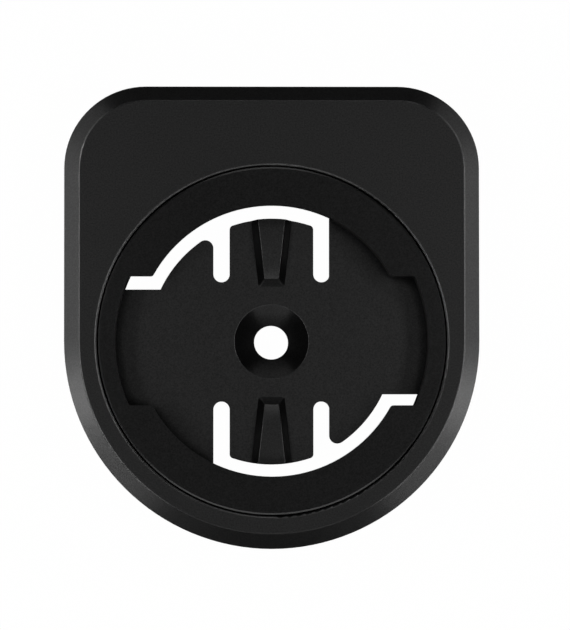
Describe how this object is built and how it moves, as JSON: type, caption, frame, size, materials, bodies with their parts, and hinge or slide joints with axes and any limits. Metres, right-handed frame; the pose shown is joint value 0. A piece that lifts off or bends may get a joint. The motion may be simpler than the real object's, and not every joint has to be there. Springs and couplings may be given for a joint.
{
  "type": "bike light mount",
  "caption": "Bevelled tombstone-shaped plate with a round quarter-turn socket, spring tongues and a countersunk screw hole for clipping on a bicycle light.",
  "frame": {"origin": "screw hole's axis at the back plane", "axes": "+Z out of the face along the screw hole, +Y towards the plate's straight edge, +X to the right seen from the front"},
  "size_m": [0.0436, 0.0486, 0.008],
  "materials": {
    "housing_plastic": "black moulded plastic with a fine matte grain",
    "insert_plastic": "black glass-filled plastic, matte floor and smoother, darker rim"
  },
  "bodies": {
    "root": {"housing": "housing_plastic", "socket_insert": "insert_plastic"}
  },
  "joints": []
}
